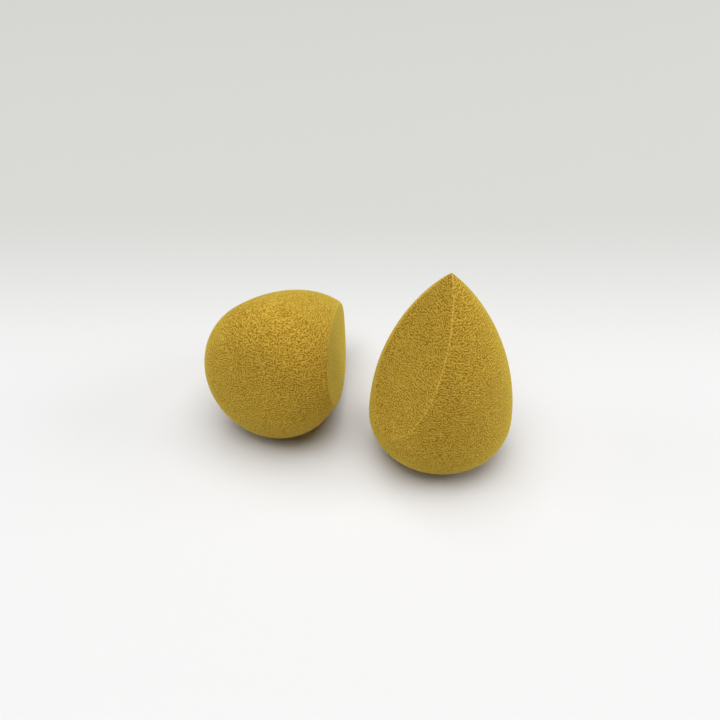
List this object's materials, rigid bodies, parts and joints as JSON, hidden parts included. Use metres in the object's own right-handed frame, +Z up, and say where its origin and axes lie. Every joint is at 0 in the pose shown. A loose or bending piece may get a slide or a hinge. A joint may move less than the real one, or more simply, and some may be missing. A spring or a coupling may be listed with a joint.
{
  "type": "makeup sponge pair",
  "caption": "Teardrop foam makeup sponges with a blunt round end, a point and a long slanted cut; one stands on its end and its twin lies loose beside it.",
  "frame": {"origin": "on the floor, at the middle of the standing sponge's pressed foot", "axes": "+Z up; +X to the viewer's right, along the row of sponges, from the lying one to the standing one; +Y away from the viewer"},
  "size_m": [0.0915, 0.0748, 0.0615],
  "materials": {
    "foam": "matte open-cell foam"
  },
  "bodies": {
    "standing": {"standing_sponge": "foam"},
    "lying": {"lying_sponge": "foam"}
  },
  "joints": [
    {"name": "lying_sponge_lift", "type": "slide", "parent": "standing", "child": "lying", "axis": [0, 0, 1], "range_m": [0, 0.08]}
  ]
}
